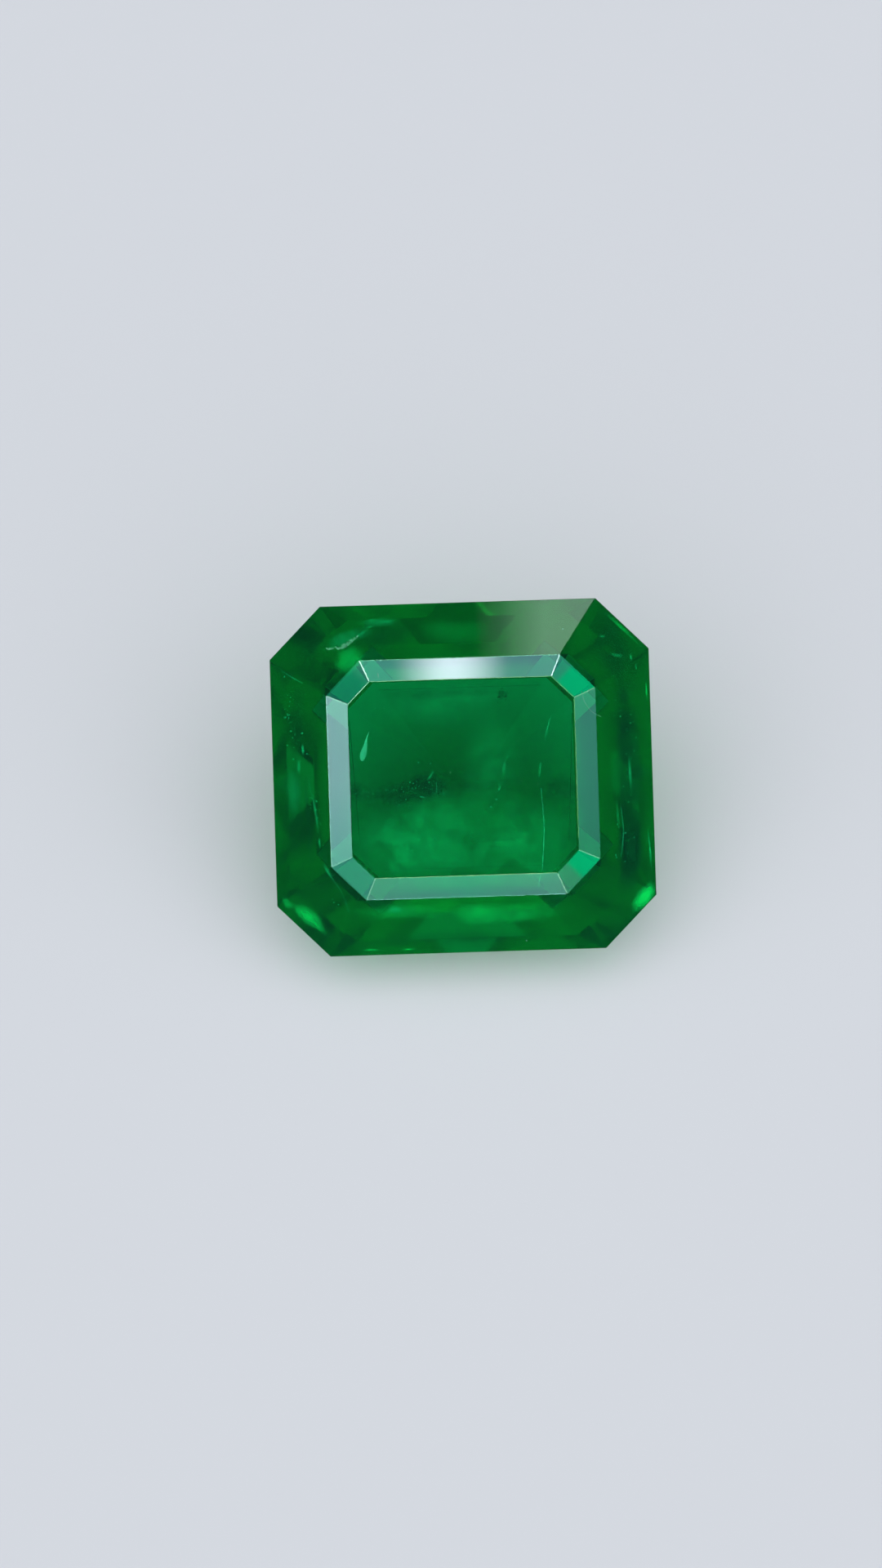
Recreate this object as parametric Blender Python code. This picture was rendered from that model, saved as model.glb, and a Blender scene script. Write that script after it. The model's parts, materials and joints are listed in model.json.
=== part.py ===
"""A cut emerald, lying on one of the facets of its underside.

The stone is an octagonal step cut. From the top down it has a flat table, two
rows of facets above the girdle, the thin upright girdle, and three rows below
it, of which the last closes on a short keel. Level octagons bound every row, so
each facet is flat.

It is drawn with its table level, then tipped forward until the front facet of
the last row lies on the ground. The origin is on the ground, under the middle
of the box that just holds the tipped stone.
"""
import math

import bmesh
import bpy
from mathutils import Matrix

MILLIMETRE = 0.001

# Outline at the girdle, in millimetres
LENGTH = 14.0
WIDTH = 12.92
CORNER_CUT = 1.91  # how far a cut corner reaches along each of its two sides
GIRDLE_HEIGHT = 0.32

# Rows of facets, counted away from the girdle. Each has how far its sides run in,
# their slope in degrees from the girdle's level, and the corner cut it ends on.
CROWN_ROWS = (
    (2.09, 36.0, 1.25),
    (0.80, 24.0, 0.80),
)
PAVILION_ROWS = (
    (1.20, 62.0, 1.70),
    (1.60, 48.0, 0.95),
)
KEEL_SLOPE = 34.0  # the last row below, whose front facet the stone lies on

# Look of the stone
EMERALD_GREEN = (0.0, 0.22, 0.07, 1.0)
EMERALD_ROUGHNESS = 0.03
EMERALD_IOR = 1.577


def octagon(half_length, half_width, corner_cut, height):
    """Points of a level octagon with cut corners, counter-clockwise from above.

    They run right end, back, left end, front, with two points to each side.
    """
    side_x = half_length - corner_cut
    end_y = half_width - corner_cut
    half_way = ((half_length, -end_y), (half_length, end_y), (side_x, half_width), (-side_x, half_width))
    return [(sign * x, sign * y, height) for sign in (1, -1) for x, y in half_way]


def octagons_from_girdle(rows, upward):
    """The octagons that bound the given rows, starting with the girdle's own edge."""
    direction = 1 if upward else -1
    half_length = LENGTH / 2
    half_width = WIDTH / 2
    height = direction * GIRDLE_HEIGHT / 2
    octagons = [octagon(half_length, half_width, CORNER_CUT, height)]
    for run, slope, corner_cut in rows:
        half_length -= run
        half_width -= run
        height += direction * run * math.tan(math.radians(slope))
        octagons.append(octagon(half_length, half_width, corner_cut, height))
    return octagons


def add_band(mesh, lower, upper):
    """The eight flat facets between two octagons."""
    for here, after in zip(range(8), (1, 2, 3, 4, 5, 6, 7, 0)):
        mesh.faces.new((lower[here], lower[after], upper[after], upper[here]))


def add_keel_row(mesh, ring):
    """The last row below, whose side facets meet in a keel along X."""
    right_end, _, back, _, left_end, _, front, _ = range(8)
    half_length = ring[right_end].co.x
    half_width = ring[back].co.y
    keel_half = half_length - half_width
    keel_height = ring[back].co.z - half_width * math.tan(math.radians(KEEL_SLOPE))
    keel_right = mesh.verts.new((keel_half, 0.0, keel_height))
    keel_left = mesh.verts.new((-keel_half, 0.0, keel_height))
    for tip, start in ((keel_right, right_end), (keel_left, left_end)):
        around = [ring[(start + step) % 8] for step in (-1, 0, 1, 2)]
        for here, after in zip(around, around[1:]):
            mesh.faces.new((after, here, tip))
    mesh.faces.new((ring[back + 1], ring[back], keel_right, keel_left))
    mesh.faces.new((ring[front + 1], ring[front], keel_left, keel_right))


def cut_stone():
    """The stone as one closed mesh, table level and the girdle's middle at height 0."""
    mesh = bmesh.new()
    below = octagons_from_girdle(PAVILION_ROWS, upward=False)
    above = octagons_from_girdle(CROWN_ROWS, upward=True)
    rings = [[mesh.verts.new(point) for point in points] for points in below[::-1] + above]
    add_keel_row(mesh, rings[0])
    for lower, upper in zip(rings, rings[1:]):
        add_band(mesh, lower, upper)
    mesh.faces.new(rings[-1])
    return mesh


def lay_down(mesh):
    """Tip the stone onto its resting facet, centre it over the origin, and go to metres."""
    tip_forward = Matrix.Rotation(math.radians(KEEL_SLOPE), 3, "X")
    bmesh.ops.rotate(mesh, verts=mesh.verts, cent=(0.0, 0.0, 0.0), matrix=tip_forward)
    depths = [vert.co.y for vert in mesh.verts]
    middle = (min(depths) + max(depths)) / 2
    lowest = min(vert.co.z for vert in mesh.verts)
    bmesh.ops.translate(mesh, verts=mesh.verts, vec=(0.0, -middle, -lowest))
    bmesh.ops.scale(mesh, verts=mesh.verts, vec=(MILLIMETRE, MILLIMETRE, MILLIMETRE))


def emerald_material():
    """The clear green stone."""
    material = bpy.data.materials.new("emerald")
    material.use_nodes = True
    shader = material.node_tree.nodes["Principled BSDF"]
    shader.inputs["Base Color"].default_value = EMERALD_GREEN
    shader.inputs["Roughness"].default_value = EMERALD_ROUGHNESS
    shader.inputs["Metallic"].default_value = 0.0
    shader.inputs["IOR"].default_value = EMERALD_IOR
    shader.inputs["Transmission Weight"].default_value = 1.0
    return material


def build_emerald():
    """The stone as one named object."""
    mesh = cut_stone()
    lay_down(mesh)
    bmesh.ops.recalc_face_normals(mesh, faces=mesh.faces)
    facets = bpy.data.meshes.new("emerald")
    mesh.to_mesh(facets)
    mesh.free()
    facets.materials.append(emerald_material())
    stone = bpy.data.objects.new("emerald", facets)
    bpy.context.scene.collection.objects.link(stone)


def main():
    for old in list(bpy.data.objects):
        bpy.data.objects.remove(old)
    build_emerald()


main()
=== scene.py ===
import json
import math
import random

import bmesh
import bpy
from mathutils import Matrix, Vector, noise


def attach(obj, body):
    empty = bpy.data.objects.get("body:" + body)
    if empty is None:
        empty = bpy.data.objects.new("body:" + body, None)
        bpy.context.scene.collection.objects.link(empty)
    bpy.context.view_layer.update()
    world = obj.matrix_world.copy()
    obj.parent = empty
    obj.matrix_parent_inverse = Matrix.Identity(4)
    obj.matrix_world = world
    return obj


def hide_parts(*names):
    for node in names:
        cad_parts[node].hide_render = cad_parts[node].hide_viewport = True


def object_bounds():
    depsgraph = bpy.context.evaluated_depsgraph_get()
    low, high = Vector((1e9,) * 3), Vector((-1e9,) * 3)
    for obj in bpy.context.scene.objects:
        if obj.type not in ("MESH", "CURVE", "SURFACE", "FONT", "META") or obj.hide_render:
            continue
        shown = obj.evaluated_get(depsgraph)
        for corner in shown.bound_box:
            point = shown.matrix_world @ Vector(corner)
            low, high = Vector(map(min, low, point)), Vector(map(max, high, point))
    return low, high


# The looks of a cut emerald that lies on a facet of its underside. The camera looks
# straight down on its table, so most places here are given in the table's own plane:
# right and up as the camera sees them, and down into the stone, all in millimetres.

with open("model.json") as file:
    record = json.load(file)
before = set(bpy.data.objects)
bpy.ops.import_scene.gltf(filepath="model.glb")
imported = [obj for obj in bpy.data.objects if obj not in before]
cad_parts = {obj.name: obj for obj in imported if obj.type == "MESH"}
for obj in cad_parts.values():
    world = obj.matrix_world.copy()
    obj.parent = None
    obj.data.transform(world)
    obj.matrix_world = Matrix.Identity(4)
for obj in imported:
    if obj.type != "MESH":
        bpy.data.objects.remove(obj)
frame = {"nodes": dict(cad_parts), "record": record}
cad_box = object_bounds()

MM = 0.001
NODE = "emerald"
BODY = "root"

# The photograph's frame, and the stone's place in it
PHOTO_WIDTH = 1080
PHOTO_HEIGHT = 1920
GIRDLE_PIXELS = 464.4  # the girdle's length, across the photograph
GIRDLE_MIDDLE = (566.9, 951.9)  # its middle, in pixels
STONE_TURN = 1.8  # degrees that the stone is turned, counter-clockwise
CAMERA_DISTANCE = 120.0


# Places on and in the stone

def mount(name):
    """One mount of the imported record."""
    return next(m for m in frame["record"]["mounts"] if m["name"] == name)


table = mount("table")
TABLE_MIDDLE = Vector(table["pos_m"])
OUT = Vector(table["axis"]).normalized()
RIGHT = Vector((1.0, 0.0, 0.0))
UP = OUT.cross(RIGHT)


def place(right, up, depth):
    """The point that many millimetres right, up and down into the stone from the table's middle."""
    return TABLE_MIDDLE + MM * (right * RIGHT + up * UP - depth * OUT)


def heading(degrees):
    """Direction in the table's plane, counter-clockwise from the camera's right."""
    angle = math.radians(degrees)
    return math.cos(angle) * RIGHT + math.sin(angle) * UP


def welded_facets(mesh_data):
    """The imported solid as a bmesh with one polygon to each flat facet."""
    mesh = bmesh.new()
    mesh.from_mesh(mesh_data)
    bmesh.ops.remove_doubles(mesh, verts=mesh.verts, dist=0.001 * MM)
    bmesh.ops.dissolve_limit(mesh, angle_limit=math.radians(0.5), verts=mesh.verts, edges=mesh.edges)
    bmesh.ops.recalc_face_normals(mesh, faces=mesh.faces)
    mesh.normal_update()
    return mesh


facets = welded_facets(frame["nodes"][NODE].data)
FACETS = [(face.calc_center_median(), face.normal.copy()) for face in facets.faces]
HALF_LENGTH = cad_box[1].x / MM
GIRDLE_DEPTH = min((TABLE_MIDDLE - point.co).dot(OUT) for point in facets.verts
                   if point.co.x > 0.9999 * cad_box[1].x) / MM


def facet_facing(slope, side):
    """Middle and normal of the facet with that slope from the table, facing that heading."""
    wanted = math.cos(math.radians(slope)) * OUT + math.sin(math.radians(slope)) * heading(side)
    return max(FACETS, key=lambda facet: facet[1].dot(wanted))


def pull_inside(point, margin):
    """The point, moved in until it is that many millimetres under every facet."""
    for middle, normal in FACETS:
        beyond = (point - middle).dot(normal) + margin * MM
        if beyond > 0.0:
            point = point - beyond * normal
    return point


# Camera

def make_camera():
    """The camera, square to the table, with the stone where the photograph has it."""
    pixel = 2 * HALF_LENGTH / GIRDLE_PIXELS
    turn = math.radians(-STONE_TURN)
    right = math.cos(turn) * RIGHT + math.sin(turn) * UP
    up = -math.sin(turn) * RIGHT + math.cos(turn) * UP
    across = (GIRDLE_MIDDLE[0] - PHOTO_WIDTH / 2) * pixel
    down = (GIRDLE_MIDDLE[1] - PHOTO_HEIGHT / 2) * pixel
    girdle_middle = place(0.0, 0.0, GIRDLE_DEPTH)
    lens = bpy.data.cameras.new("camera")
    lens.sensor_fit = "HORIZONTAL"
    lens.sensor_width = 36.0
    lens.lens = lens.sensor_width * CAMERA_DISTANCE / (PHOTO_WIDTH * pixel)
    lens.clip_start = 0.005
    lens.clip_end = 20.0
    camera = bpy.data.objects.new("camera", lens)
    bpy.context.scene.collection.objects.link(camera)
    spot = girdle_middle + MM * (CAMERA_DISTANCE * OUT - across * right + down * up)
    camera.matrix_world = Matrix.Translation(spot) @ Matrix((right, up, OUT)).transposed().to_4x4()
    bpy.context.scene.camera = camera
    return camera


camera = make_camera()


# Materials

def new_material(name):
    """A node material, its shader and its node tree."""
    material = bpy.data.materials.new(name)
    material.use_nodes = True
    tree = material.node_tree
    return material, tree.nodes["Principled BSDF"], tree


def link_noise(tree, socket, scale, low, high, detail=3.0, distortion=0.0):
    """Drive a socket with soft noise between two values."""
    coords = tree.nodes.new("ShaderNodeTexCoord")
    texture = tree.nodes.new("ShaderNodeTexNoise")
    texture.inputs["Scale"].default_value = scale
    texture.inputs["Detail"].default_value = detail
    texture.inputs["Distortion"].default_value = distortion
    tree.links.new(coords.outputs["Object"], texture.inputs["Vector"])
    spread = tree.nodes.new("ShaderNodeMapRange")
    spread.inputs["From Min"].default_value = 0.3
    spread.inputs["From Max"].default_value = 0.7
    spread.inputs["To Min"].default_value = low
    spread.inputs["To Max"].default_value = high
    tree.links.new(texture.outputs["Fac"], spread.inputs["Value"])
    tree.links.new(spread.outputs["Result"], socket)


def emerald_material():
    """Clear green beryl. The mesh's wear is how rough each face is, which faint polish marks vary."""
    material, shader, tree = new_material("emerald_clear")
    shader.inputs["Base Color"].default_value = (0.05, 0.9, 0.45, 1.0)
    shader.inputs["IOR"].default_value = 1.577
    shader.inputs["Transmission Weight"].default_value = 0.975
    wear = tree.nodes.new("ShaderNodeAttribute")
    wear.attribute_name = "wear"
    roughness = tree.nodes.new("ShaderNodeMath")
    roughness.operation = "MULTIPLY"
    tree.links.new(wear.outputs["Fac"], roughness.inputs[0])
    link_noise(tree, roughness.inputs[1], 900.0, 0.5, 1.5)
    tree.links.new(roughness.outputs["Value"], shader.inputs["Roughness"])
    volume = tree.nodes.new("ShaderNodeVolumeAbsorption")
    volume.inputs["Color"].default_value = (0.0, 0.861, 0.711, 1.0)
    volume.inputs["Density"].default_value = 900.0
    tree.links.new(volume.outputs["Volume"], tree.nodes["Material Output"].inputs["Volume"])
    return material


def floor_material():
    """Matt pale board with a hardly seen mottle."""
    material, shader, tree = new_material("floor_board")
    shader.inputs["Base Color"].default_value = (0.67, 0.69, 0.74, 1.0)
    shader.inputs["Specular IOR Level"].default_value = 0.2
    link_noise(tree, shader.inputs["Roughness"], 400.0, 0.75, 0.9)
    return material


# The stone

EDGE_WIDTH = 0.018  # how far the rounding of an edge reaches onto its facets
EDGE_STEP = 0.45  # length of the stretches that an edge is worn in
ROUNDING = 1  # material index of the faces that round the edges
FULL_FACET_CORNERS = 12  # a facet with fewer corners is left without chips


def split_edges(mesh):
    """Cut every edge into even stretches."""
    for edge in list(mesh.edges):
        parts = max(1, round(edge.calc_length() / (EDGE_STEP * MM)))
        vert = edge.verts[0]
        for left in range(parts, 1, -1):
            edge, vert = bmesh.utils.edge_split(edge, vert, 1.0 / left)


def round_edges(mesh):
    """Round every edge, and keep each facet flat and nothing outside the facets."""
    bmesh.ops.bevel(mesh, geom=list(mesh.edges), offset=EDGE_WIDTH * MM, segments=2, profile=0.6,
                    affect="EDGES", clamp_overlap=False, material=ROUNDING)
    bmesh.ops.dissolve_degenerate(mesh, edges=mesh.edges, dist=0.0001 * MM)
    for vert in mesh.verts:
        vert.co = pull_inside(vert.co, 0.0)
    mesh.normal_update()
    for face in mesh.faces:
        if face.material_index == ROUNDING:
            continue
        middle, normal = max(FACETS, key=lambda facet: facet[1].dot(face.normal))
        for vert in face.verts:
            vert.co -= (vert.co - middle).dot(normal) * normal


def chip_edges(mesh, seed):
    """Widen the rounding here and there, as worn facet edges are."""
    draw = random.Random(seed)
    for face in mesh.faces:
        if len(face.verts) < FULL_FACET_CORNERS:
            continue
        moves = []
        for loop in face.loops:
            here = loop.vert.co
            before = loop.link_loop_prev.vert.co
            after = loop.link_loop_next.vert.co
            along = (after - before).normalized()
            if (here - before).normalized().dot((after - here).normalized()) < 0.999:
                continue
            inward = face.normal.cross(along)
            moves.append((loop.vert, EDGE_WIDTH * MM * draw.random() ** 3 * inward))
        for vert, move in moves:
            vert.co += move


CROWN_WEAR, UNDERSIDE_WEAR, EDGE_WEAR = 0.012, 0.09, 0.06  # mean roughness of the polish


def make_stone():
    """The emerald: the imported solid's facets with worn edges."""
    stone_mesh = facets.copy()
    split_edges(stone_mesh)
    round_edges(stone_mesh)
    chip_edges(stone_mesh, seed=11)
    data = bpy.data.meshes.new("cut_stone")
    stone_mesh.to_mesh(data)
    stone_mesh.free()
    wear = data.attributes.new("wear", "FLOAT", "FACE")
    for face, worn in zip(data.polygons, wear.data):
        if face.material_index == ROUNDING:
            worn.value = EDGE_WEAR
        else:
            worn.value = UNDERSIDE_WEAR if face.normal.dot(OUT) < -0.1 else CROWN_WEAR
        face.material_index = 0
    data.materials.append(emerald_material())
    stone = bpy.data.objects.new("cut_stone", data)
    bpy.context.scene.collection.objects.link(stone)
    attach(stone, BODY)
    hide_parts(NODE)


make_stone()


# Inside the stone

UPPER_FACETS = [facet for facet in FACETS if facet[1].dot(OUT) > 0.3]


def inside(right, up, under):
    """The point that many millimetres under the polished surface, at a place seen by the camera."""
    above = place(right, up, 0.0)
    surface = max((above - middle).dot(normal) / OUT.dot(normal) for middle, normal in UPPER_FACETS)
    return above - (max(surface, 0.0) + under * MM) * OUT


def facet_above(right, up):
    """Normal of the facet that the camera sees at a place."""
    above = place(right, up, 0.0)
    return max(UPPER_FACETS, key=lambda facet: (above - facet[0]).dot(facet[1]) / OUT.dot(facet[1]))[1]


def new_piece(name, mesh, material):
    """Turn a bmesh into a named piece of the emerald."""
    mesh.normal_update()
    data = bpy.data.meshes.new(name)
    mesh.to_mesh(data)
    mesh.free()
    data.materials.append(material)
    piece = bpy.data.objects.new(name, data)
    bpy.context.scene.collection.objects.link(piece)
    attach(piece, BODY)


def add_blade(mesh, path, widths, thickness, sides=8, cloudiness=None, strengths=(), normals=()):
    """A flat closed blade along a path, with a width in millimetres at each of its points.

    It lies level with the table, or else across the given normals.
    """
    rings = []
    for index, (point, width) in enumerate(zip(path, widths)):
        before = path[max(index - 1, 0)]
        after = path[min(index + 1, len(path) - 1)]
        normal = normals[index] if normals else OUT
        sideways = normal.cross(after - before).normalized()
        flat = thickness * min(1.0, width / max(widths))
        ring = []
        for side in range(sides):
            angle = 2 * math.pi * side / sides
            offset = math.cos(angle) * width * sideways + math.sin(angle) * flat * normal
            vert = mesh.verts.new(point + offset * MM / 2)
            if cloudiness:
                vert[cloudiness] = strengths[index]
            ring.append(vert)
        rings.append(ring)
    for ring, following in zip(rings, rings[1:]):
        for side in range(sides):
            after = (side + 1) % sides
            mesh.faces.new((ring[side], ring[after], following[after], following[side]))
    mesh.faces.new(rings[0][::-1])
    mesh.faces.new(rings[-1])


def smooth_path(places, steps):
    """Points on a smooth curve through the given points, with that many steps between two."""
    points = []
    for index in range(len(places) - 1):
        a = places[max(index - 1, 0)]
        b, c = places[index], places[index + 1]
        d = places[min(index + 2, len(places) - 1)]
        for step in range(steps):
            t = step / steps
            points.append(0.5 * (2 * b + (c - a) * t + (2 * a - 5 * b + 4 * c - d) * t * t
                                 + (3 * b - a - 3 * c + d) * t * t * t))
    points.append(places[-1])
    return points


def blend_widths(widths, steps):
    """Widths at every step of a smooth path, from those at its given places."""
    blended = []
    for here, after in zip(widths, widths[1:]):
        blended += [here + (after - here) * step / steps for step in range(steps)]
    return blended + [widths[-1]]


FILM_HALF_THICKNESS = 0.02
FILM_MARGIN = 0.05  # how far under the polish every film stays


def add_film(mesh, cloudiness, middle, right_axis, up_axis, half_sizes, strength, wave, seed):
    """A thin wavy closed film, densest in its middle. The mesh's cloudiness layer holds how dense it is."""
    rings, segments = 9, 28
    out_axis = right_axis.cross(up_axis).normalized()
    shift = Vector((seed * 1.7, seed * 0.6, seed * 2.3))

    def add_point(share, angle, face):
        ragged = 1.0 + 0.35 * noise.noise(shift + Vector((math.cos(angle), math.sin(angle), 0)) * 1.3)
        across = share * ragged * math.cos(angle) * half_sizes[0]
        along = share * ragged * math.sin(angle) * half_sizes[1]
        lift = wave * noise.noise(shift + Vector((across, along, 0)) * 0.9)
        point = middle + MM * (across * right_axis + along * up_axis + lift * out_axis)
        thickness = FILM_HALF_THICKNESS * (1 - share ** 2)
        vert = mesh.verts.new(pull_inside(point, FILM_MARGIN) + MM * face * thickness * out_axis)
        vert[cloudiness] = strength * (1 - share ** 2) ** 2
        return vert

    rim = [add_point(1.0, 2 * math.pi * k / segments, 0) for k in range(segments)]
    for face in (1, -1):
        outer = rim
        for ring in range(rings - 1, 0, -1):
            inner = [add_point(ring / rings, 2 * math.pi * k / segments, face) for k in range(segments)]
            for k in range(segments):
                after = (k + 1) % segments
                corners = (outer[k], outer[after], inner[after], inner[k])
                mesh.faces.new(corners[::face])
            outer = inner
        tip = add_point(0.0, 0.0, face)
        for k in range(segments):
            corners = (outer[k], outer[(k + 1) % segments], tip)
            mesh.faces.new(corners[::face])


def add_grain(mesh, middle, size, draw):
    """One tiny rough crystal."""
    angle = draw.uniform(0, math.pi)
    turn = Matrix.Rotation(angle, 4, Vector((draw.random(), draw.random(), 1)).normalized())
    stretch = Matrix.Diagonal((1.0, draw.uniform(0.6, 1.0), draw.uniform(0.6, 2.2), 1.0))
    bmesh.ops.create_icosphere(mesh, subdivisions=1, radius=size * MM / 2,
                               matrix=Matrix.Translation(middle) @ turn @ stretch)


def scatter(draw, start, end, spread, count, under):
    """Places strewn along a line, thinning out sideways, at a depth between two values."""
    for _ in range(count):
        share = draw.random()
        right = start[0] + (end[0] - start[0]) * share + draw.gauss(0, spread)
        up = start[1] + (end[1] - start[1]) * share + draw.gauss(0, spread)
        yield inside(right, up, draw.uniform(*under))


def inclusion_material(name, colour, roughness, veil=None, grain=900.0):
    """Matt crystal or fracture inside the stone. A veil is see-through by its cloudiness times noise."""
    material, shader, tree = new_material(name)
    shader.inputs["Roughness"].default_value = roughness
    shader.inputs["Specular IOR Level"].default_value = 0.1
    darker = [channel * 0.7 for channel in colour]
    mix = tree.nodes.new("ShaderNodeMix")
    mix.data_type = "RGBA"
    mix.inputs["A"].default_value = (*darker, 1.0)
    mix.inputs["B"].default_value = (*colour, 1.0)
    link_noise(tree, mix.inputs["Factor"], grain * 2, 0.0, 1.0)
    tree.links.new(mix.outputs["Result"], shader.inputs["Base Color"])
    if veil:
        cloudiness = tree.nodes.new("ShaderNodeAttribute")
        cloudiness.attribute_name = "cloudiness"
        product = tree.nodes.new("ShaderNodeMath")
        product.operation = "MULTIPLY"
        tree.links.new(cloudiness.outputs["Fac"], product.inputs[0])
        link_noise(tree, product.inputs[1], grain, *veil, detail=6.0, distortion=0.5)
        tree.links.new(product.outputs["Value"], shader.inputs["Alpha"])
    return material


# The leaf-shaped feather near the table's left side, and its width at each of its places
LEAF = (
    (-3.66, 0.71), (-3.64, 0.83), (-3.61, 0.96), (-3.56, 1.13),
    (-3.52, 1.27), (-3.49, 1.44), (-3.44, 1.6), (-3.38, 1.75),
)
LEAF_WIDTHS = (0.09, 0.2, 0.24, 0.19, 0.13, 0.08, 0.04, 0.015)

# The jagged fracture at the top left, and its width at each of its places
FRACTURE = (
    (-4.84, 4.92), (-4.72, 4.86), (-4.57, 4.89), (-4.36, 4.87),
    (-4.2, 4.96), (-4.01, 5.06), (-3.86, 5.17), (-3.67, 5.31),
)
FRACTURE_WIDTHS = (0.03, 0.08, 0.05, 0.09, 0.18, 0.15, 0.1, 0.05)

# Growth tubes and cracks: places, width and density
GROWTH_LINES = (
    (((3.27, 2.17), (3.14, 1.75), (3.07, 1.46), (3.02, 1.22)), 0.02, 0.2),
    (((2.82, -0.48), (2.84, -0.99)), 0.035, 0.4),
    (((2.84, -0.99), (2.88, -1.62), (2.87, -2.13), (2.83, -2.72), (2.76, -3.5)), 0.04, 0.7),
    (((2.7, -3.59), (2.6, -4.12)), 0.05, 0.35),
    (((-0.99, -0.12), (-0.98, -0.3), (-0.99, -0.54)), 0.03, 0.25),
    (((-1.6, -0.66), (-1.52, -0.67), (-1.44, -0.69)), 0.03, 0.4),
    (((-5.62, 0.0), (-5.45, -1.0), (-5.35, -1.7)), 0.03, 0.15),
    (((-5.15, -3.07), (-4.92, -3.47), (-4.55, -4.05), (-4.3, -4.8)), 0.03, 0.25),
    (((-6.52, 4.12), (-6.1, 3.85), (-5.73, 3.62)), 0.05, 0.2),
    (((5.72, -1.3), (5.78, -2.2), (5.66, -3.1)), 0.04, 0.4),
)


def make_feather():
    """The pale leaf-shaped feather."""
    mesh = bmesh.new()
    steps = 5
    leaf = smooth_path([inside(*at, 0.18) for at in LEAF], steps)
    add_blade(mesh, leaf, blend_widths(LEAF_WIDTHS, steps), 0.05)
    new_piece("leaf_feather", mesh, inclusion_material("feather_white", (0.95, 0.64, 0.58), 0.6))


def make_fracture():
    """The jagged fracture, which reaches the surface."""
    mesh = bmesh.new()
    cloudiness = mesh.verts.layers.float.new("cloudiness")
    draw = random.Random(5)
    steps = 4
    places = [(at.x + draw.gauss(0, 0.022), at.y + draw.gauss(0, 0.022))
              for at in smooth_path([Vector(at) for at in FRACTURE], steps)]
    path = [inside(*at, 0.0) for at in places]
    normals = [facet_above(*at) for at in places]
    ragged = [width * draw.uniform(0.5, 1.4) for width in blend_widths(FRACTURE_WIDTHS, steps)]
    strengths = [draw.uniform(0.5, 0.95) for _ in path]
    add_blade(mesh, path, ragged, 0.012, cloudiness=cloudiness, strengths=strengths, normals=normals)
    material = inclusion_material("fracture_white", (0.15, 0.56, 0.33), 0.7, veil=(0.3, 1.0), grain=5000.0)
    new_piece("fracture", mesh, material)


def make_growth_lines():
    """Fine growth tubes and cracks, seen as thin, broken pale lines."""
    mesh = bmesh.new()
    cloudiness = mesh.verts.layers.float.new("cloudiness")
    draw = random.Random(8)
    for line, width, strength in GROWTH_LINES:
        path = smooth_path([inside(*at, 0.15) for at in line], 10)
        last = len(path) - 1
        widths = [width * draw.uniform(0.6, 1.1) for _ in path]
        strengths = [strength * math.sin(math.pi * (0.08 + 0.84 * k / last)) ** 0.5 for k in range(last + 1)]
        add_blade(mesh, path, widths, 0.012, sides=6, cloudiness=cloudiness, strengths=strengths)
    material = inclusion_material("growth_line", (0.45, 0.9, 0.75), 0.5, veil=(0.35, 1.0), grain=1800.0)
    new_piece("growth_lines", mesh, material)


# Strewn crystals: start and end of each stream, its spread, their number and how deep they lie
PALE_STREAMS = (
    ((-3.96, -0.57), (-0.66, -0.16), 0.10, 90, (0.3, 1.4)),
    ((-3.9, -0.5), (-2.2, -1.0), 0.30, 40, (0.3, 1.5)),
    ((-3.5, 2.1), (-2.2, 2.6), 0.12, 9, (0.1, 0.5)),
    ((-2.6, -3.2), (0.6, -1.4), 0.50, 36, (0.3, 2.0)),
    ((-6.35, 2.8), (-5.85, 0.5), 0.14, 26, (0.1, 0.6)),
    ((-6.1, 3.3), (-6.3, 2.2), 0.10, 10, (0.1, 0.5)),
    ((-5.45, -0.3), (-5.2, -2.9), 0.10, 26, (0.1, 0.5)),
    ((6.05, 1.2), (5.75, -3.7), 0.16, 50, (0.1, 0.7)),
    ((6.3, 0.8), (6.1, -3.0), 0.18, 26, (0.1, 0.7)),
    ((5.5, 2.6), (6.3, 1.6), 0.14, 12, (0.1, 0.5)),
    ((1.7, 1.0), (1.1, -1.1), 0.14, 26, (0.2, 0.8)),
    ((-4.9, -4.3), (-4.3, -5.2), 0.14, 12, (0.1, 0.5)),
)


# Single crystals: right, up and size
LARGER_CRYSTALS = (
    (-2.11, -0.74, 0.05), (-0.73, -0.58, 0.05), (-1.62, 0.59, 0.05), (-1.18, 0.54, 0.05),
    (1.17, -0.84, 0.06), (0.97, -1.11, 0.08), (-3.12, 2.61, 0.05), (-2.79, 2.6, 0.05),
    (-6.43, 3.91, 0.05), (-6.44, 2.41, 0.07), (-6.32, 2.38, 0.06), (-6.26, 2.98, 0.05),
    (-6.26, 1.9, 0.06), (-5.83, 1.8, 0.08), (5.47, -3.02, 0.07), (5.5, -3.11, 0.07),
    (5.82, -3.27, 0.05), (5.86, -2.22, 0.05), (5.57, -1.9, 0.05), (5.62, -2.0, 0.04),
)


def make_pinpoints():
    """Fine streams of pale pinpoint crystals."""
    mesh = bmesh.new()
    draw = random.Random(21)
    for right, up, size in LARGER_CRYSTALS:
        add_grain(mesh, inside(right, up, 0.1), size, draw)
    for start, end, spread, count, under in PALE_STREAMS:
        for middle in scatter(draw, start, end, spread, count, under):
            add_grain(mesh, middle, 0.015 + 0.04 * draw.random() ** 3, draw)
    new_piece("pinpoint_crystals", mesh, inclusion_material("pinpoint_crystal", (0.2, 0.5, 0.4), 0.5))


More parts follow.
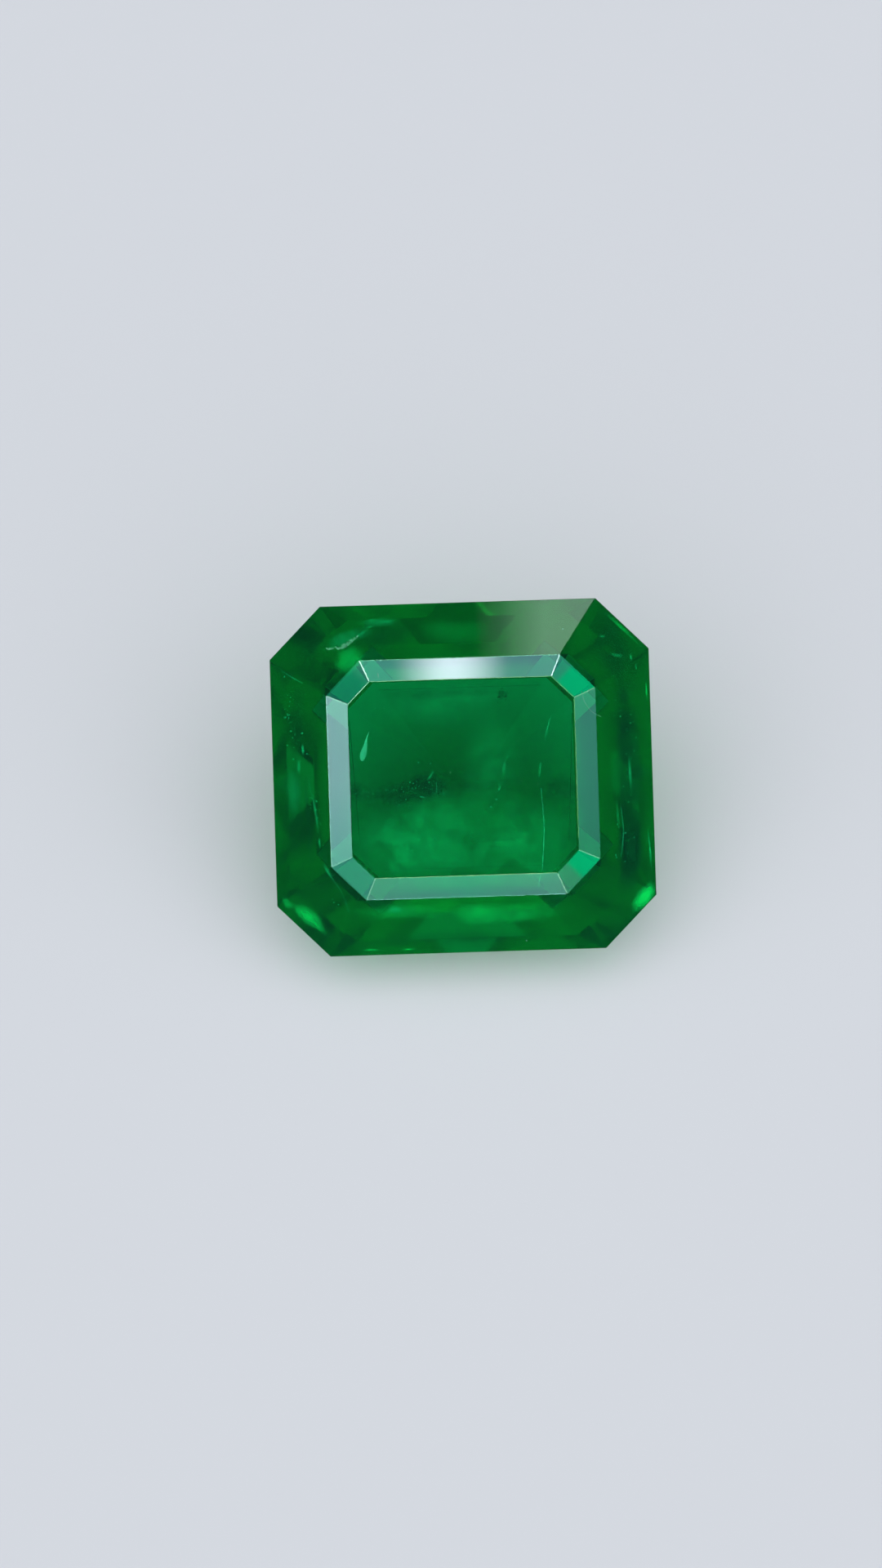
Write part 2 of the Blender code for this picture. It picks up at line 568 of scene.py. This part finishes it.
def make_dark_crystals_and_painted_shade():
    """The soft dark spot near the table's top right, and dark grains along the table's middle that are partly
    painted shade of its dark band.
    """
    mesh = bmesh.new()
    draw = random.Random(34)
    for middle in scatter(draw, (1.4, 2.97), (1.6, 2.98), 0.09, 14, (0.3, 0.6)):
        add_grain(mesh, middle, 0.02 + 0.04 * draw.random(), draw)
    # Dark grains along the dark band across the table's middle: partly dark crystals, partly painted shade.
    for middle in scatter(draw, (-3.0, -0.35), (0.2, -0.5), 0.22, 40, (0.5, 1.6)):
        add_grain(mesh, middle, 0.02 + 0.03 * draw.random(), draw)
    new_piece("dark_crystals_and_painted_shade", mesh, inclusion_material("dark_crystal_and_painted_shade", (0.0, 0.05, 0.02), 0.6))


# Films: middle, half sizes, turn in degrees, density, waviness and depth. The films are partly cloudy
# inclusions and partly painted light and painted shade: the lighter and darker patches that internal
# reflection puts on the table and crown.
# Pale films: partly cloudy wisps, partly painted light that lightens patches such as the lower half of the
# table.
PALE_FILMS_AND_PAINTED_LIGHT = (
    ((-1.5, -2.3), (3.2, 2.0), 8, 0.45, 0.06, 1.2),
    ((1.7, -2.4), (2.9, 1.9), -4, 0.40, 0.06, 1.5),
    ((1.0, 0.6), (1.4, 2.5), -12, 0.16, 0.06, 0.9),
    ((-0.5, 2.7), (2.8, 1.0), 2, 0.14, 0.06, 1.0),
    ((-4.1, 5.22), (1.1, 0.42), 28, 0.24, 0.02, 0.13),
    ((-2.96, 5.77), (0.8, 0.26), 2, 0.22, 0.02, 0.13),
    ((-3.27, 5.6), (0.2, 0.07), 12, 0.45, 0.01, 0.12),
    ((-3.13, 5.85), (0.26, 0.09), 5, 0.40, 0.01, 0.12),
    ((-2.6, 5.8), (0.34, 0.1), 0, 0.30, 0.01, 0.12),
    ((-3.55, 5.38), (0.4, 0.1), 45, 0.40, 0.01, 0.1),
    ((3.12, 1.7), (0.05, 0.5), -15, 0.30, 0.02, 0.2),
    ((2.8, 0.2), (0.07, 0.4), -8, 0.22, 0.02, 0.2),
    ((-1.16, 0.13), (0.06, 0.25), -32, 0.40, 0.02, 0.2),
    ((1.49, 0.3), (0.1, 0.4), -9, 0.25, 0.02, 0.2),
    ((1.3, -0.42), (0.06, 0.2), -12, 0.35, 0.02, 0.2),
    ((-6.2, -0.3), (0.4, 1.0), 0, 0.20, 0.05, 0.3),
    ((-5.82, 1.2), (0.1, 0.25), 5, 0.60, 0.02, 0.1),
    ((-6.0, 0.6), (0.1, 0.3), 0, 0.45, 0.02, 0.1),
    ((-5.42, -1.1), (0.07, 0.8), 7, 0.35, 0.02, 0.1),
    ((-5.31, -2.22), (0.06, 0.24), 3, 0.60, 0.01, 0.08),
    ((-5.03, -3.27), (0.1, 0.4), 30, 0.50, 0.02, 0.1),
    ((-2.66, -4.74), (0.3, 0.2), 0, 0.60, 0.02, 0.1),
    ((5.25, 5.01), (0.16, 0.07), 0, 0.50, 0.01, 0.06),
    ((5.76, 4.3), (0.3, 0.1), 0, 0.35, 0.01, 0.08),
    ((6.3, 4.2), (0.05, 0.18), 5, 0.95, 0.01, 0.06),
    ((6.48, 3.86), (0.05, 0.15), 5, 0.90, 0.01, 0.06),
    ((6.11, 0.0), (0.08, 0.75), 2, 0.50, 0.02, 0.1),
    ((5.6, -1.6), (0.07, 0.6), 3, 0.30, 0.02, 0.1),
    ((6.8, -2.9), (0.06, 0.85), 4, 0.70, 0.01, 0.05),
)
# Bright films: partly cloudy wisps, partly painted light: painted green flashes at the right-hand corners and
# lighter patches along the bottom.
BRIGHT_FILMS_AND_PAINTED_LIGHT = (
    ((-3.97, 4.4), (0.65, 0.68), 20, 0.40, 0.02, 0.2),
    ((-5.8, -4.97), (0.85, 0.36), -45, 0.85, 0.02, 0.15),
    ((-6.6, -4.43), (0.3, 0.2), -45, 0.50, 0.02, 0.1),
    ((6.52, -4.62), (0.72, 0.42), 52, 1.50, 0.02, 0.08),
    ((-2.4, -4.8), (2.1, 0.5), 2, 0.25, 0.03, 0.2),
    ((1.6, -4.95), (2.5, 0.55), -2, 0.25, 0.03, 0.2),
    ((0.48, -4.95), (1.2, 0.55), 0, 0.40, 0.03, 0.2),
    ((2.0, -5.1), (0.6, 0.3), 0, 0.30, 0.02, 0.1),
    ((-3.6, -6.24), (0.34, 0.06), 0, 0.80, 0.0, 0.06),
    ((-2.2, -6.26), (0.3, 0.06), 0, 0.70, 0.0, 0.06),
    ((6.85, 2.98), (0.06, 0.36), 0, 0.90, 0.0, 0.06),
    ((5.95, 5.4), (1.1, 0.09), -45, 0.35, 0.0, 0.06),
    ((-0.1, 5.3), (1.7, 0.7), 1, 0.14, 0.03, 0.2),
)
# Dark films: partly cloudy inclusions, partly painted shade: the dark band across the table's middle and
# darker patches on the crown's sides and corners.
DARK_FILMS_AND_PAINTED_SHADE = (
    ((-1.6, -0.5), (3.0, 0.65), 3, 0.60, 0.1, 1.5),
    ((-1.38, -0.32), (1.0, 0.55), 0, 0.90, 0.1, 1.2),
    ((-2.05, -0.69), (0.5, 0.22), 0, 0.70, 0.05, 0.9),
    ((-3.93, -0.36), (0.5, 0.4), 0, 0.70, 0.05, 0.8),
    ((0.6, -0.3), (1.8, 0.35), 0, 0.30, 0.1, 1.2),
    ((3.6, -0.55), (1.1, 0.6), 0, 0.55, 0.1, 1.3),
    ((-0.4, 3.1), (2.4, 0.22), 1, 0.25, 0.1, 1.5),
    ((1.5, 2.98), (0.26, 0.17), 0, 0.80, 0.02, 0.4),
    ((6.05, 0.5), (0.85, 3.7), 2, 1.30, 0.05, 0.45),
    ((6.0, -2.4), (0.7, 2.4), 2, 1.60, 0.05, 0.35),
    ((5.9, -3.1), (0.75, 1.3), 0, 1.60, 0.05, 0.4),
    ((5.4, 4.4), (1.3, 1.3), 30, 0.90, 0.05, 0.5),
    ((5.6, 5.2), (0.6, 0.6), 0, 0.45, 0.05, 0.5),
    ((6.2, 3.3), (0.5, 0.7), 0, 0.45, 0.05, 0.5),
    ((-5.66, -1.5), (0.14, 1.9), 2, 1.00, 0.03, 0.3),
    ((-6.1, -0.9), (0.6, 2.2), 0, 0.40, 0.05, 0.5),
    ((-5.9, 2.2), (0.5, 1.6), -6, 0.50, 0.05, 0.6),
    ((-0.4, -5.85), (4.2, 0.4), 0, 0.35, 0.05, 0.4),
    ((-5.3, 4.9), (0.8, 0.5), 45, 0.35, 0.05, 0.4),
    ((-2.9, 5.2), (1.8, 0.8), 0, 0.60, 0.05, 0.5),
)


def make_films(name, films, material, seed):
    """Cloudy films, partly painted light and painted shade, by the tables above."""
    mesh = bmesh.new()
    cloudiness = mesh.verts.layers.float.new("cloudiness")
    for number, (at, half_sizes, turn, strength, wave, under) in enumerate(films):
        normal = facet_above(*at)
        right_axis = heading(turn)
        right_axis = (right_axis - right_axis.dot(normal) * normal).normalized()
        axes = right_axis, normal.cross(right_axis)
        add_film(mesh, cloudiness, inside(*at, under), *axes, half_sizes, strength, wave, seed + number)
    new_piece(name, mesh, material)


FILM_GRAIN = 1100.0  # scale of the noise that makes films patchy
# The pale and bright veils are partly painted light, and the dark veils partly painted shade.
pale_veil_and_painted_light = inclusion_material("pale_veil_and_painted_light", (0.2, 0.95, 0.6), 0.8, veil=(0.3, 0.85), grain=FILM_GRAIN)
bright_veil_and_painted_light = inclusion_material("bright_veil_and_painted_light", (0.05, 0.95, 0.3), 0.8, veil=(0.5, 1.0), grain=FILM_GRAIN)
dark_veil_and_painted_shade = inclusion_material("dark_veil_and_painted_shade", (0.0, 0.06, 0.02), 0.8, veil=(0.1, 1.0), grain=FILM_GRAIN)

make_feather()
make_fracture()
make_growth_lines()
make_pinpoints()
make_dark_crystals_and_painted_shade()
make_films("pale_veils_and_painted_light", PALE_FILMS_AND_PAINTED_LIGHT, pale_veil_and_painted_light, 3)
make_films("bright_veils_and_painted_light", BRIGHT_FILMS_AND_PAINTED_LIGHT, bright_veil_and_painted_light, 30)
make_films("dark_veils_and_painted_shade", DARK_FILMS_AND_PAINTED_SHADE, dark_veil_and_painted_shade, 60)


# Dust on the polish: single specks with their size, and the places that the fibre runs through
DUST_SPECKS = (
    (-2.99, 3.86, 0.04), (-2.98, 3.8, 0.04), (-2.97, 3.74, 0.03), (3.82, 5.32, 0.07), (2.15, -6.08, 0.05),
    (-1.4, 3.85, 0.03), (0.1, 3.8, 0.025), (-2.0, 4.1, 0.02), (4.3, -2.0, 0.03),
)
LINT_FIBRE = ((4.4, 3.0), (4.5, 2.6), (4.75, 2.25), (5.1, 2.05))
FIBRE_WIDTH = 0.009


def make_dust():
    """A few specks of dust and a curved lint fibre."""
    mesh = bmesh.new()
    draw = random.Random(55)
    for right, up, size in DUST_SPECKS:
        add_grain(mesh, inside(right, up, -0.012), size, draw)
    for _ in range(40):
        right, up = draw.uniform(-4.5, 4.5), draw.uniform(-4.2, 4.2)
        add_grain(mesh, inside(right, up, -0.004), 0.01 + 0.012 * draw.random(), draw)
    fibre = smooth_path([inside(right, up, -0.015) for right, up in LINT_FIBRE], 8)
    add_blade(mesh, fibre, [FIBRE_WIDTH] * len(fibre), FIBRE_WIDTH, sides=6)
    new_piece("dust", mesh, inclusion_material("dust", (0.22, 0.56, 0.44), 0.9))


make_dust()


# Floor and light

def make_floor():
    """A plain pale floor just under the stone."""
    bpy.ops.mesh.primitive_plane_add(size=12.0, location=(0.0, 0.0, -0.03 * MM))
    floor = bpy.context.object
    floor.name = "floor"
    floor.data.materials.append(floor_material())
    floor.visible_glossy = False


def make_world():
    """Soft studio light, strongest from in front and above. Only softboxes show as reflections."""
    world = bpy.data.worlds.new("studio")
    bpy.context.scene.world = world
    world.use_nodes = True
    tree = world.node_tree
    coords = tree.nodes.new("ShaderNodeTexCoord")
    aim = tree.nodes.new("ShaderNodeVectorMath")
    aim.operation = "DOT_PRODUCT"
    aim.inputs[1].default_value = Vector((0.0, -0.8, 0.6)).normalized()
    tree.links.new(coords.outputs["Generated"], aim.inputs[0])
    fall = tree.nodes.new("ShaderNodeMapRange")
    fall.interpolation_type = "SMOOTHSTEP"
    fall.inputs["From Min"].default_value = math.cos(math.radians(98))
    fall.inputs["From Max"].default_value = math.cos(math.radians(35))
    fall.inputs["To Min"].default_value = 0.1
    fall.inputs["To Max"].default_value = 1.65
    tree.links.new(aim.outputs["Value"], fall.inputs["Value"])
    background = tree.nodes["Background"]
    background.inputs["Color"].default_value = (0.98, 0.99, 1.0, 1.0)
    tree.links.new(fall.outputs["Result"], background.inputs["Strength"])
    world.cycles_visibility.glossy = False


def softbox(name, slope, side, ends, stops, reach=350.0, width=90.0, fade=0.0):
    """A soft light that one facet mirrors into the camera. It shows in reflections only.

    slope and side pick the facet. ends are the stretch of the facet that it fills, in
    millimetres clockwise from the facet's middle. stops are radiances along that
    stretch, each with its share of the way and its red, green and blue. With a fade it
    is a round spot of the last stop, soft over that share of its radius.
    """
    middle, normal = facet_facing(slope, side)
    eye = camera.matrix_world.translation
    mirrored_eye = eye - 2 * (eye - middle).dot(normal) * normal
    clockwise = normal.cross(OUT).normalized()

    def beyond(shift):
        ray = middle + MM * shift * clockwise - mirrored_eye
        return mirrored_eye + ray * (1.0 + reach * MM / ray.length)

    start, end = beyond(ends[0]), beyond(ends[1])
    spot = (start + end) / 2
    along = (end - start).normalized()
    away = (spot - middle).normalized()
    away = (away - away.dot(along) * along).normalized()
    across = away.cross(along)
    peak = max(max(colour) for _, colour in stops)
    light = bpy.data.lights.new(name, "AREA")
    light.shape = "RECTANGLE"
    light.size = (end - start).length
    light.size_y = width * MM
    light.energy = peak * math.pi * light.size * light.size_y
    light.use_nodes = True
    tree = light.node_tree
    spread = tree.nodes.new("ShaderNodeNewGeometry")
    if fade:
        shade_round(tree, spread.outputs["Parametric"], stops[-1][1], peak, fade)
    else:
        shade_along(tree, spread.outputs["Parametric"], stops, peak)
    box = bpy.data.objects.new(name, light)
    bpy.context.scene.collection.objects.link(box)
    box.matrix_world = Matrix.Translation(spot) @ Matrix((along, across, away)).transposed().to_4x4()
    box.visible_camera = False
    box.visible_diffuse = False
    box.visible_transmission = False
    box.visible_volume_scatter = False


def shade_along(tree, place_on_light, stops, peak):
    """Change the light's colour along its length, from stop to stop."""
    split = tree.nodes.new("ShaderNodeSeparateXYZ")
    tree.links.new(place_on_light, split.inputs["Vector"])
    ramp = tree.nodes.new("ShaderNodeValToRGB")
    elements = ramp.color_ramp.elements
    while len(elements) < len(stops):
        elements.new(0.5)
    for element, (share, colour) in zip(elements, stops):
        element.position = share
        element.color = [channel / peak for channel in colour] + [1.0]
    tree.links.new(split.outputs["X"], ramp.inputs["Fac"])
    tree.links.new(ramp.outputs["Color"], tree.nodes["Emission"].inputs["Color"])


def shade_round(tree, place_on_light, colour, peak, fade):
    """Make the light a round spot with a soft rim."""
    distance = tree.nodes.new("ShaderNodeVectorMath")
    distance.operation = "DISTANCE"
    distance.inputs[1].default_value = (0.5, 0.5, 0.0)
    tree.links.new(place_on_light, distance.inputs[0])
    fall = tree.nodes.new("ShaderNodeMapRange")
    fall.interpolation_type = "SMOOTHSTEP"
    fall.inputs["From Min"].default_value = 0.5
    fall.inputs["From Max"].default_value = 0.5 - 0.5 * fade
    tree.links.new(distance.outputs["Value"], fall.inputs["Value"])
    tree.nodes["Emission"].inputs["Color"].default_value = [channel / peak for channel in colour] + [1.0]
    tree.links.new(fall.outputs["Result"], tree.nodes["Emission"].inputs["Strength"])


def soft_light(name, spot, radiance, length, breadth, upright, shape="RECTANGLE"):
    """An even area light that faces the stone."""
    peak = max(radiance)
    light = bpy.data.lights.new(name, "AREA")
    light.shape = shape
    light.size = length * MM
    light.size_y = breadth * MM
    area = light.size * light.size_y * (math.pi / 4 if shape == "ELLIPSE" else 1.0)
    light.energy = peak * math.pi * area
    light.color = [channel / peak for channel in radiance]
    lamp = bpy.data.objects.new(name, light)
    bpy.context.scene.collection.objects.link(lamp)
    away = (spot - TABLE_MIDDLE).normalized()
    along = (upright - upright.dot(away) * away).normalized()
    turned = Matrix((along, away.cross(along), away)).transposed().to_4x4()
    lamp.matrix_world = Matrix.Translation(spot) @ turned
    lamp.visible_camera = False
    lamp.visible_diffuse = False
    lamp.visible_volume_scatter = False
    return lamp


def edge_light(name, tilt, side, length, radiance, breadth=45.0, reach=350.0):
    """A soft light that the rounding of some edges mirrors into the camera. It shows in reflections only."""
    direction = math.cos(math.radians(tilt)) * OUT + math.sin(math.radians(tilt)) * heading(side)
    spot = TABLE_MIDDLE + reach * MM * direction
    lamp = soft_light(name, spot, radiance, length, breadth, heading(side + 90))
    lamp.visible_transmission = False


def flash_light(name, direction, radiance, spread, reach=600.0):
    """A small light that shows only through the stone, as a bright flash. spread is its radius in degrees."""
    width = 2 * reach * math.tan(math.radians(spread))
    spot = TABLE_MIDDLE + reach * MM * Vector(direction).normalized()
    lamp = soft_light(name, spot, radiance, width, width, UP, shape="ELLIPSE")
    lamp.visible_glossy = False


NARROW = 24.0  # slopes of the two crown rows, in degrees
WIDE = 36.0
BACK, RIGHT_END, FRONT, LEFT_END = 90.0, 0.0, 270.0, 180.0

make_floor()
make_world()
softbox("softbox_back", NARROW, BACK, (-6, 6), [(0.1, (0.8, 4.4, 3.6)), (0.9, (1.8, 3.4, 4.4))])
softbox("softbox_back_spot", NARROW, BACK, (-2.6, 2.0), [(0, (12, 12, 14))], reach=340, width=18, fade=1.0)
softbox("softbox_left", NARROW, LEFT_END, (-6, 6), [
    (0.2, (1.9, 5.9, 5.6)), (0.5, (3.8, 7, 7.5)), (0.8, (4, 7.2, 7.8)),
])
softbox("softbox_right", NARROW, RIGHT_END, (-6, 6), [
    (0.25, (0.7, 3.2, 2.7)), (0.5, (0.6, 3.2, 2.5)), (0.8, (0.4, 2.6, 1.9)),
])
softbox("softbox_front", NARROW, FRONT, (-6, 6), [
    (0.2, (1.4, 3.3, 3.5)), (0.5, (0.9, 4.3, 3.4)), (0.8, (1.2, 4.1, 3.4)),
])
softbox("softbox_back_left", NARROW, BACK + 45, (-1.6, 1.6), [
    (0.2, (0.1, 1.6, 1.3)), (0.6, (0.1, 1.8, 1.5)), (1, (1.5, 4.4, 4.2)),
])
softbox("softbox_front_left", NARROW, FRONT - 45, (-1.6, 1.6), [
    (0, (0.7, 3.9, 3.1)), (1, (0.6, 3.6, 2.9)),
])
softbox("softbox_front_right", NARROW, FRONT + 45, (-1.6, 1.6), [
    (0, (0, 7.4, 2.8)), (0.4, (0, 6.0, 2.6)), (0.5, (0, 5.4, 2.4)),
    (0.55, (0.6, 3.0, 2.1)), (1, (0.8, 3.0, 2.4)),
])
softbox("softbox_back_corner", NARROW, BACK - 45, (-1.6, 1.6), [
    (0, (0.4, 2.4, 2.7)), (0.38, (0.4, 2.5, 2.4)), (0.44, (0, 5.2, 2.5)),
    (1, (0, 5.4, 2.3)),
])
softbox("softbox_back_right", WIDE, BACK, (0.6, 9), [
    (0.0, (0, 0, 0)), (0.12, (0.5, 0.8, 0.7)), (0.3, (2.1, 3.1, 2.6)),
    (1, (2.3, 3.3, 2.8)),
])
edge_light("edge_light_back_left", 47, 112.5, 130, (14, 22, 19))
edge_light("edge_light_left_back", 47, 157.5, 130, (7, 12, 11))
edge_light("edge_light_back_right", 47, 67.5, 130, (16, 22, 24))
edge_light("edge_light_right_back", 47, 22.5, 130, (3, 7, 5))
edge_light("edge_light_front_right", 47, -67.5, 130, (6, 11, 9))
edge_light("edge_light_right_front", 47, -22.5, 130, (3, 9, 6))
edge_light("edge_light_front_left", 47, -112.5, 130, (4, 9, 7))
edge_light("edge_light_left_front", 47, -157.5, 130, (4, 9, 8))
edge_light("table_edge_light_corner", 39, 134, 60, (10, 17, 14), breadth=25.0)
edge_light("table_edge_light_back_right", 39, 46, 60, (4, 9, 4), breadth=25.0)
edge_light("table_edge_light_back", 39, 90, 60, (6, 10, 6), breadth=25.0)
edge_light("table_edge_light_front", 39, 270, 60, (6, 10, 6), breadth=25.0)
edge_light("table_edge_light_right", 39, 0, 60, (4, 8, 3), breadth=25.0)
edge_light("outer_edge_light_back", 56, 90, 60, (4, 9, 6), breadth=20.0)
edge_light("outer_edge_light_front", 56, 270, 60, (4, 8, 9), breadth=20.0)
edge_light("outer_edge_light_left", 56, 180, 60, (6, 10, 9), breadth=20.0)
flash_light("flash_light_front_right", (-0.70, -0.65, 0.30), (0, 9, 16), 2.5)
flash_light("flash_light_front", (0.0, -0.84, 0.54), (0, 2.6, 4), 2.0)
flash_light("flash_light_above", (0.0, 0.63, 0.78), (0, 0.6, 0.65), 14.0)


# Render settings that the stone needs
LIGHT_BOUNCES = 24  # light runs this often from facet to facet
scene = bpy.context.scene
scene.cycles.max_bounces = LIGHT_BOUNCES
scene.cycles.glossy_bounces = LIGHT_BOUNCES
scene.cycles.transmission_bounces = LIGHT_BOUNCES
scene.cycles.transparent_max_bounces = LIGHT_BOUNCES
scene.view_settings.view_transform = "Standard"

facets.free()
